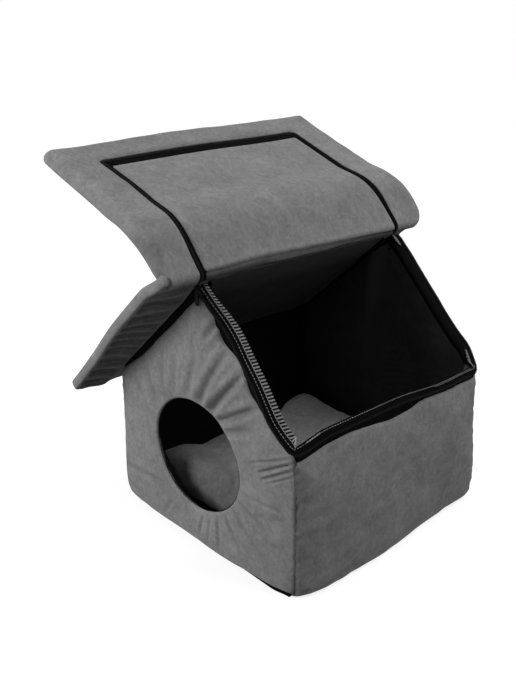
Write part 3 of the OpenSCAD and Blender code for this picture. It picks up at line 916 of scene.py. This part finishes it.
def overlock_width(along):
    """Share of the overlock's width that lies open: from the peak to the corner, a little past it, and
    at the far corner and the far peak."""
    front = (0.5 + 0.5 * smooth(0.01, 0.10, along)) * (1 - smooth(0.275, 0.30, along))
    twisted = 0.3 * smooth(0.30, 0.315, along) * (1 - smooth(0.335, 0.36, along))
    corner = 0.8 * smooth(0.70, 0.715, along) * (1 - smooth(0.735, 0.765, along))
    apex = smooth(0.975, 0.985, along)
    return 0.04 + 0.96 * np.maximum(np.maximum(front, corner), np.maximum(apex, twisted))


def on_overlock(along, across, lift):
    """A point of the overlocked edge: across runs from its needle line to its loose edge."""
    open_share = overlock_width(along)
    inside = 10.5 * mm + overlock_w * across * open_share
    height = 3.0 * mm + 3.0 * mm * across * open_share + lift
    return on_house_rim(along, inside, height)


# Each loop runs out to the loose edge and back beside itself, so that it reads as one slanting bar.
loops = int(house_zip_l / overlock_pitch)
loop_shares = np.array([0.0, 0.44, 0.58, 0.66, 0.24, 0.45])
loop_across = np.array([0.0, 0.94, 1.04, 0.92, 0.04, 0.0])
loop_lift = np.array([0.3, 0.7, 0.0, 0.6, 0.4, -0.3]) * mm
overlock_paths = []
open_loops = []
for loop in range(loops):
    along = (loop + loop_shares) / loops
    if overlock_width(along).min() > 0.2:
        open_loops.append(np.column_stack(on_overlock(along, loop_across, loop_lift)))
    elif open_loops:
        overlock_paths.append(np.concatenate(open_loops))
        open_loops = []
overlock_paths.append(np.concatenate(open_loops))
overlock = thread("opening_overlock_loops", overlock_paths, 0.52 * mm)
dress(overlock, grey_thread, "grey_thread", "opening_overlock")


def overlock_cloth_place(along, across):
    return on_overlock(along, across, np.full_like(along, -0.4 * mm))


overlock_cloth = cloth("opening_overlock_cloth", 420, 4, overlock_cloth_place)
thicken(overlock_cloth, tape_t)
dark_edge = woven("overlocked_cloth_edge", (0.012, 0.012, 0.012), 300.0, 0.2 * mm)
dress(overlock_cloth, dark_edge, "grey_suede")


# The left roof slope: a padded suede mat that is sewn to the walls along a black tape and hangs over
# them on three sides. Its upper end rolls round the ridge, where the flap bends against it.
hinge_x, _, hinge_z = joints["roof_flap_hinge"]["pos_m"]
hinge_n = hinge_x * slope_sin + (hinge_z - peak_z) * slope_cos
hinge_s = hinge_x * slope_cos - (hinge_z - peak_z) * slope_sin
mat_half_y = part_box("left_roof_cover")[1].y
roof_overhang = 61 * mm
back_extra = 11 * mm
left_end = slope_l + roof_overhang + 14 * mm
pad_half_t = 10 * mm
left_corner = 14 * mm


def mat_plan(across, down, start, end, half, corner):
    """s and y over a mat with its two far corners rounded, and the distance in from its edges."""
    s = start + (end - start) * down
    y = (2 * across - 1) * half
    over_s = np.clip((s - (end - corner)) / corner, 0, 1)
    over_y = np.clip((np.abs(y) - (half - corner)) / corner, 0, 1)
    in_corner = (over_s > 0) & (over_y > 0)
    turned_s = over_s * np.sqrt(1 - over_y ** 2 / 2)
    turned_y = over_y * np.sqrt(1 - over_s ** 2 / 2)
    s = np.where(in_corner, end - corner + corner * turned_s, s)
    y = np.where(in_corner, np.sign(y) * (half - corner + corner * turned_y), y)
    edge = np.minimum(half - np.abs(y), end - s)
    edge = np.where(in_corner, corner * (1 - np.hypot(turned_s, turned_y)), edge)
    return s, y, np.clip(edge, 0, None)


def boxed(distance, radius):
    """Height of a squarer edge than a quarter round."""
    return (1 - (1 - np.clip(distance / radius, 0, 1)) ** 3) ** (1 / 3)


def mat_point(across, along, end, half, corner, swell_out, swell_under, ridge_r, edge_shape):
    """A closed mat in slope axes: its underside, the roll at the ridge and then its outer side."""
    under = along <= 0.5
    start = hinge_s - pad_half_t
    s, y, edge = mat_plan(crowd(across), 1 - crowd(1 - np.abs(2 * along - 1)), start, end, half, corner)
    at_ridge = np.clip((hinge_s - s) / pad_half_t, 0, 1)
    thick = edge_shape(edge) * pad_half_t
    thick = np.where(at_ridge > 0, np.minimum(np.sqrt(1 - at_ridge ** 2), edge_shape(half - np.abs(y)))
                     * pad_half_t, thick)
    away = rise(0, 60, s - hinge_s)
    thick = thick + away * np.where(under, swell_under(s, y, edge), swell_out(s, y, edge))
    scale = 1 + (ridge_r / pad_half_t - 1) * (1 - away)
    n = hinge_n + np.where(under, -1, 1) * thick * scale
    s = np.where(s < hinge_s, hinge_s + (s - hinge_s) * scale, s)
    return s, y + back_extra * smooth(half_d, half, y), n


def left_edge(edge):
    """The left mat's edge is square and a little thinner than its middle."""
    return boxed(edge, 6 * mm) * (0.8 + 0.2 * rise(0, 40, edge))


def padded_out(crown, spread, hills, seed):
    """The outer side of a mat: its crown, which grows in from the edges over a spread, and soft hills."""
    def swell(s, y, edge):
        wide = unevenness(s, y, hills, seed)
        return crown * (1 - fade(edge, spread)) + 1.2 * mm * wide * rise(0, 20, edge)
    return swell


def left_pleats(s, y):
    """Slanting pleats of the overhang's underside: their height and the painted shade in their valleys."""
    overhang = np.abs(y) - half_d
    strip = rise(2, 16, overhang) * (1 - rise(51, 57, overhang))
    slant = 0.7 - 0.55 * rise(100, 220, s)
    over_pleats = s - slant * overhang
    pleat = np.abs(np.sin(np.pi * over_pleats / (34 * mm) + 0.8 * unevenness(s, y, 150 * mm, 73)))
    small = np.abs(np.sin(np.pi * over_pleats / (13 * mm) + 1.4 * unevenness(s, y, 80 * mm, 74)))
    height = 4.2 * mm * (1 - pleat) ** 1.4 + 1.1 * mm * (1 - small) ** 1.3 - 2.2 * mm
    return strip * height, strip * (0.5 * pleat ** 0.7 + 0.2 * small)


def left_under(s, y, edge):
    """The overhang's underside is full beside the wall and pleated towards its edge."""
    full = 5 * mm * hill(np.abs(y) - half_d, 14, 16)
    return full + left_pleats(s, y)[0]


def left_roof_place(across, along):
    s, y, n = mat_point(across, along, left_end, mat_half_y - 0.3 * mm, left_corner,
                        padded_out(5 * mm, 40, 120 * mm, 71), left_under, 9.8 * mm, left_edge)
    # Painted shade in the pleats, on the underside only.
    shade = np.where(along <= 0.5, left_pleats(s, y)[1], 0)
    overhang = np.abs(y) - half_d
    lift = 7 * mm * smooth(8 * mm, roof_overhang, overhang) * rise(0, 45, s - hinge_s)
    lift = lift * (1 - smooth(130 * mm, left_end, s))
    in_front = smooth(half_d, mat_half_y, -y)
    behind = smooth(half_d, mat_half_y, y)
    spread = 6 * mm * (1 - rise(110, 230, s))
    tuck = 1 - smooth(hinge_s - 12 * mm, hinge_s + 18 * mm, s)
    tuck_behind = 1 - smooth(hinge_s - 12 * mm, 50 * mm, s)
    y = y - (spread - 5 * mm * tuck) * in_front - 34 * mm * tuck_behind * behind
    return *on_slope(s, y, n + lift, side=-1), shade


left_roof = cloth("left_roof_mat", 160, 380, left_roof_place)
dress(left_roof, grey_suede, "grey_suede", "left_roof_cover", "left_roof_foam", "ridge_cover", "ridge_foam")

seam_tape_profile = [(4, -13), (2, -9), (-0.5, -5), (-1.8, -1), (-1.6, 3), (0, 6.5), (10, 7), (20, 6.5),
                     (21, 0)]
left_zip_point = zip_path(-6 * mm, tape_reach, tape_y, rim_corner)[3]


def on_left_rim(along, inside, height):
    s, y = left_zip_point(along, inside)
    return on_slope(s, y, height, side=-1)


seam_tape = band("left_seam_tape_cloth", 300, seam_tape_profile, on_left_rim)
thicken(seam_tape, tape_t)
dress(seam_tape, black_tape, "zip_tape", "left_seam_tape")


# The left roof's lining: suede inside the house, which runs up to the ridge and ends in a topstitched
# seam. The flap turns beneath its upper edge.
ridge_lining_r = 11 * mm
seam_front = -2 * mm
seam_back = 3 * mm
left_lining_end = slope_l - 31 * mm


def on_ridge_lining(y, down, lift):
    """A point of the lining by its distance down from the ridge, negative where it rounds the ridge."""
    reach = ridge_lining_r + lift
    turn = np.clip(-down / ridge_lining_r, 0, None)
    s = np.where(down < 0, hinge_s - reach * np.sin(turn), hinge_s + down)
    return on_slope(s, y, hinge_n - reach * np.cos(turn), side=-1)


def ridge_seam(y):
    """Where the lining starts: a little past the ridge in front, a little short of it behind."""
    return seam_front + (seam_back - seam_front) * smooth(-inner_y, inner_y, y)


def left_lining_place(across, along):
    y = (2 * across - 1) * inner_y
    first = ridge_seam(y)
    down = first + (left_lining_end - hinge_s - first) * along ** 1.6
    slack = 1.2 * mm * (0.5 + 0.5 * unevenness(down, y, 90 * mm, 75)) * rise(12, 50, down)
    # Painted shade: the suede is made much darker, and darker still further down from the ridge, inside the
    # house.
    return *on_ridge_lining(y, down, slack), 0.74 + 0.22 * rise(10, 90, down)


left_lining = cloth("left_roof_lining_cloth", 120, 90, left_lining_place)
thicken(left_lining, tape_t)
dress(left_lining, grey_suede, "grey_suede", "left_roof_lining")

ridge_stitches = []
for seam_y in np.arange(-inner_y + 4 * mm, inner_y - 4 * mm, 4.2 * mm):
    stitch_y = seam_y + 2.9 * mm * stitch_steps
    stitch_down = ridge_seam(stitch_y) + 1.2 * mm
    ridge_stitches.append(np.column_stack(on_ridge_lining(stitch_y, stitch_down, stitch_arch + 0.5 * mm)))
ridge_topstitch = thread("ridge_topstitch", ridge_stitches, 0.35 * mm)
dress(ridge_topstitch, grey_thread, "grey_thread")


# The roof flap: the right slope's mat, folded back over the ridge and bent by its own weight. It is
# drawn flat as it lies when zipped, then turned back and bent to where it rests open.
open_turn = math.radians(joints["roof_flap_hinge"]["range_deg"][1])
bend_turn = math.radians(joints["roof_flap_bend"]["range_deg"][1])
bend_x, _, bend_z = joints["roof_flap_bend"]["pos_m"]
hinge_place = np.array((hinge_x, hinge_z))
bend_place = np.array((bend_x, bend_z))
along_near = (bend_place - hinge_place) / np.linalg.norm(bend_place - hinge_place)
mid_turn = bend_turn / 2
along_bend = np.array((along_near[0] * math.cos(mid_turn) - along_near[1] * math.sin(mid_turn),
                       along_near[0] * math.sin(mid_turn) + along_near[1] * math.cos(mid_turn)))
bend_start = bend_place - 36 * mm * along_bend
bend_end = bend_place + 84 * mm * along_bend


def turned(x, z, pivot, angle):
    """Points turned about a line along y, positive as the joints count it."""
    dx = x - pivot[0]
    dz = z - pivot[1]
    return (pivot[0] + dx * np.cos(angle) + dz * np.sin(angle),
            pivot[1] - dx * np.sin(angle) + dz * np.cos(angle))


def flap_at_rest(s, y, n):
    """A point of the flat, zipped flap, where it lies when the flap is folded back."""
    x, _, z = on_slope(s, y, n)
    near_x, near_z = turned(x, z, hinge_place, -open_turn)
    run = bend_end - bend_start
    bent_x, bent_z = near_x, near_z
    for _ in range(40):
        share = ((bent_x - bend_start[0]) * run[0] + (bent_z - bend_start[1]) * run[1]) / (run @ run)
        share = np.clip(share, 0, 1)
        bent_x, bent_z = turned(near_x, near_z, bend_place, -bend_turn * share * share * (3 - 2 * share))
    return bent_x, y, bent_z


def bends_with_flap(piece):
    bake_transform(piece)


zip_y = -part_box("house_zip_coil")[0].y
flap_zip_reach = tape_reach + (zip_y - tape_y)


def to_zip(s, y):
    """Distance out from the flap's zip line, negative inside it."""
    return np.maximum(np.abs(y) - zip_y, s - flap_zip_reach)


def flap_edge(edge):
    return rounded(edge, pad_half_t)


def flap_under(s, y, edge):
    """The border swells between the zip and the mat's edge; inside the zip the mat is flat."""
    outside = to_zip(s, y)
    border = rounded(outside, 9 * mm) * rise(0, 16, edge)
    small = unevenness(s, y, 60 * mm, 82)
    return border * (4 * mm + 1.0 * mm * small) - 1.5 * mm * (outside <= 0)


flap_end = slope_l + roof_overhang
flap_corner = 13 * mm


def flap_warp(s, y, n):
    """The border swells out beside the ridge, with its ends rounded; the zip's front leg is drawn in,
    and the far front corner curls out."""
    in_front = smooth(half_d, mat_half_y, -y)
    behind = smooth(half_d, mat_half_y, y)
    front_bulge = 7 * mm * hill(s, 65, 45)
    back_bulge = 7 * mm * hill(s, 16, 36) + 4 * mm * smooth(220 * mm, flap_end, s)
    end = np.clip((hinge_s + 20 * mm - s) / (31 * mm), 0, 1)
    round_end = 1 - np.sqrt(1 - end ** 2)
    drawn_in = 9 * mm * smooth(20 * mm, zip_y, -y) * (1 - in_front) * rise(30, 140, s)
    drawn_in = drawn_in + 6 * mm * in_front * smooth(150 * mm, flap_end, s)
    curl = 10 * mm * smooth(0.14, flap_end, s) * smooth(-0.02, mat_half_y, -y)
    sunk = 3 * mm * smooth(0.03, 0.12, s) * smooth(0.10, mat_half_y, y)
    y = y + drawn_in
    y = y - (front_bulge - 18 * mm * round_end) * in_front + (back_bulge - 30 * mm * round_end) * behind
    return s, y, n + curl - sunk


def flap_place(across, along):
    s, y, n = mat_point(across, along, flap_end, mat_half_y, flap_corner,
                        padded_out(4 * mm, 45, 110 * mm, 81), flap_under, 10.2 * mm, flap_edge)
    return flap_at_rest(*flap_warp(s, y, n))


flap_mat = cloth("roof_flap_mat", 200, 300, flap_place)
bends_with_flap(flap_mat)
dress(flap_mat, grey_suede, "grey_suede", "flap_near_cover", "flap_near_foam", "flap_near_border",
      "flap_far_cover", "flap_far_foam", "flap_far_border", body=None)


# The inner panel of the flap's underside, inside the zip: it swells over the inner edge of the tape
# and runs down over the ridge, where a seam crosses it with a loose fold below.
panel_half = zip_y - 8 * mm
panel_end = flap_zip_reach - 20 * mm
panel_start = hinge_s - 17 * mm
panel_corner = 6 * mm
panel_seam_front = hinge_s + 1.5 * mm
panel_seam_back = hinge_s - 11 * mm


def round_the_ridge(s, reach):
    """Slope axes of a point on the mat's underside, at a reach from its middle, also past the ridge."""
    turn = np.clip((hinge_s - s) / pad_half_t, 0, None)
    return np.where(turn > 0, hinge_s - reach * np.sin(turn), s), hinge_n - reach * np.cos(turn)


def panel_creases(s, y):
    """The seam over the ridge and the fold below it: their height on the panel and their shade."""
    seam = panel_seam_front + (panel_seam_back - panel_seam_front) * (y + panel_half) / (2 * panel_half)
    seam = seam - 4.5 * mm * smooth(90 * mm, panel_half, -y)
    stitched = 1.9 * mm * (0.8 + 0.2 * np.sin(2 * np.pi * y / (4.2 * mm)))
    line = hill(s - seam, 0, 1.6)
    puffed = 0.6 * mm * hill(np.abs(s - seam), 5, 3)
    below = seam - 6.5 * mm - s + 0.02 * y
    here = rise(-95, -60, y) * (1 - rise(30, 75, y))
    fold = 1.8 * mm * hill(below, 0, 2.2)
    valley = here * hill(below, 4, 1.8)
    height = puffed - stitched * line + fold * here - 1.4 * mm * valley
    past = seam - s
    # Painted shade: darker past the seam, where the panel rounds under the ridge, and in the stitched line
    # and the fold's valley.
    shade = 0.58 * rise(-0.5, 1.5, past) + 0.2 * rise(3, 15, past)
    return height, np.clip(shade + 0.45 * line + 0.4 * valley, 0, 0.9)


def panel_place(across, down):
    s, y, edge = mat_plan(crowd(across), down ** 1.6, panel_start, panel_end, panel_half, panel_corner)
    s = s - 1.5 * mm * (1 - y / panel_half) * smooth(120 * mm, panel_end, s)
    lift = -2.0 * mm + 5.5 * mm * rounded(edge, 10 * mm)
    crown = 7 * mm * (1 - fade(edge, 55)) * rise(0, 70, s - hinge_s)
    lift = lift + crown + 0.9 * mm * unevenness(s, y, 100 * mm, 91) * rise(0, 30, edge)
    creased, shade = panel_creases(s, y)
    lift = lift * rise(-40, 20, s - hinge_s) + creased
    rolled_s, rolled_n = round_the_ridge(s, pad_half_t + lift)
    y = y - 4 * mm * smooth(0.5, 1, y / panel_half) * rise(0, 60, s)
    return *flap_at_rest(*flap_warp(rolled_s, y, rolled_n)), shade


flap_panel = cloth("roof_flap_panel", 150, 190, panel_place)
thicken(flap_panel, 1 * mm)
bends_with_flap(flap_panel)
dress(flap_panel, grey_suede, "grey_suede", "flap_near_panel", "flap_far_panel", body=None)


# The flap's half of the zip: black tape in the channel between panel and border, sewn under both of
# them, with its own coil along its outer edge.
flap_zip_l, flap_leg_share, flap_corner_share, flap_zip_point = zip_path(
    hinge_s - 22 * mm, flap_zip_reach, zip_y, rim_corner)


def on_flap_rim(along, inside, height):
    """A point of the flap's tape, which lies wider along the flap's far side, most of all in front."""
    far_side = between_corners(along, flap_leg_share, flap_corner_share) * (1.5 - along)
    s, y = flap_zip_point(along, inside * (1 + 1.5 * far_side))
    rolled_s, rolled_n = round_the_ridge(s, pad_half_t + height)
    return flap_at_rest(*flap_warp(rolled_s, y, rolled_n))


flap_tape_profile = [(-1, -1.5), (-0.5, 0.4), (2, 1.0), (7, 0.9), (12, 0.4), (12.8, -1.5)]
flap_tape = band("flap_zip_tape_cloth", 420, flap_tape_profile, on_flap_rim)
thicken(flap_tape, tape_t)
bends_with_flap(flap_tape)
dress(flap_tape, black_tape, "zip_tape", "flap_near_zip_tape", "flap_far_zip_tape", body=None)

flap_coil_path = coil_path(flap_zip_l, on_flap_rim, 0.4 * mm, 1.2 * mm, 2.4 * mm)
flap_coil = thread("flap_zip_coil_turns", [flap_coil_path], coil_thread_r)
bends_with_flap(flap_coil)
dress(flap_coil, coil_black, "zip_coil", "flap_near_zip_coil", "flap_far_zip_coil", body=None)


# The slider, its pull and the zip's end stops: small metal pieces in black enamel. The slider runs on
# the coil and carries the pull, and the stops are clamped on the coil's ends. They keep their shapes.
dark_metal, metal_tree, metal_shader = plain_material(
    "dark_metal", (0.003, 0.003, 0.0033), 0.5, specular=0.06)
enamel_wear = noise_in(metal_tree, place_on(metal_tree), 3 * mm, 4.0, 0.6)
worn_bright = ranged(metal_tree, enamel_wear, 0.0, 1.0, 0.5, 0.75)
worn_rough = ranged(metal_tree, enamel_wear, 0.42, 0.65, 0.3, 0.7)
metal_tree.links.new(worn_rough, metal_shader.inputs["Roughness"])
two_greys(metal_tree, metal_shader, worn_bright, (0.0025, 0.0025, 0.0028), (0.008, 0.008, 0.0085))
for metal_name in ("zip_slider", "zip_pull", "zip_stops"):
    metal_piece = frame["nodes"][metal_name]
    metal_piece.data.materials.clear()
    metal_piece.data.materials.append(dark_metal)


# The cushion: a loose, soft pad in the same suede, with a crown and drawn-in sides. Its front and back
# edges are pushed up against the walls, most of all at the back left corner.
cushion_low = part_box("cushion_bottom")[0]
cushion_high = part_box("cushion_top")[1]
cushion_cell = 5.5 * mm
cushion_pressure = 4
cushion_stretch = 0.03
cushion_frames = 20
most_swell = 14 * mm


def cushion_place(across, along):
    upper = along > 0.5
    u = 2 * crowd(across) - 1
    v = 2 * crowd(1 - np.abs(2 * along - 1)) - 1
    half_x = cushion_high.x - 4 * mm
    half_y = cushion_high.y - 2 * mm
    x = u * (half_x - 8 * mm * (1 - v * v))
    y = v * (half_y + np.where(v < 0, 7 * mm, -4 * mm * (1 - u * u)))
    full = np.clip((1 - np.abs(u) ** 8) * (1 - np.abs(v) ** 14), 0, None)
    seam_up = 22 * mm
    pushed_up = (7 * mm + 8 * mm * smooth(0.3, 0.95, -u)) * smooth(0.3, 0.85, v)
    pushed_up = pushed_up + 11 * mm * smooth(0.55, 0.95, -v)
    seam = cushion_low.z + seam_up + pushed_up
    crown = cushion_high.z - cushion_low.z - seam_up - 9 * mm
    belly = seam - cushion_low.z - 1 * mm
    z = np.where(upper, seam + crown * full ** 0.22, seam - belly * np.minimum(1, 3 * full) ** 0.5)
    return x, y, z


def settled_mesh(piece):
    """The piece's mesh with its modifiers applied; they are then taken off."""
    bpy.context.view_layer.update()
    made = bpy.data.meshes.new_from_object(piece.evaluated_get(bpy.context.evaluated_depsgraph_get()))
    piece.modifiers.clear()
    piece.data = made
    return made


def corners_of(mesh):
    points = np.empty((len(mesh.vertices), 3), dtype=np.float32)
    mesh.vertices.foreach_get("co", points.ravel())
    return points


cushion = cloth("cushion_pad", 80, 160, cushion_place)
even_mesh = cushion.modifiers.new("even_mesh", "REMESH")
even_mesh.mode = "VOXEL"
even_mesh.voxel_size = cushion_cell
start_points = corners_of(settled_mesh(cushion))
filling = cushion.modifiers.new("filling", "CLOTH")
filling.settings.use_pressure = True
filling.settings.uniform_pressure_force = cushion_pressure
filling.settings.effector_weights.gravity = 0
filling.settings.shrink_min = -cushion_stretch
filling.point_cache.frame_start = 1
filling.point_cache.frame_end = cushion_frames
for frame_number in range(1, cushion_frames + 1):
    scene.frame_set(frame_number)
swollen = settled_mesh(cushion)
scene.frame_set(1)
move = corners_of(swollen) - start_points
length = np.linalg.norm(move, axis=1, keepdims=True)
points = start_points + move * np.minimum(1, most_swell / np.maximum(length, 1e-9))
roomy = np.array((inner_x - 3 * mm, inner_y - 3 * mm))
points[:, :2] = np.clip(points[:, :2], -roomy, roomy)
points[:, 2] = np.maximum(points[:, 2], cushion_low.z)
swollen.vertices.foreach_set("co", points.ravel())
# Painted shade: the cushion's suede is darker towards the entrance and beside the left wall, where it lies
# in the house's shade.
painted_cushion_shade = 0.5 * rise(40, 150, -points[:, 1])
beside_wall = rise(30, 150, -points[:, 0]) * (1 - rise(-20, 70, points[:, 1]))
painted_cushion_shade = np.maximum(painted_cushion_shade, 0.65 * beside_wall)
swollen.attributes.new("painted_shade", "FLOAT", "POINT").data.foreach_set("value", painted_cushion_shade)
for face in swollen.polygons:
    face.use_smooth = True
finer = cushion.modifiers.new("finer", "SUBSURF")
finer.levels = 1
finer.render_levels = 1
dress(cushion, grey_suede, "grey_suede", "cushion_top", "cushion_bottom", "cushion_filling", body="cushion")
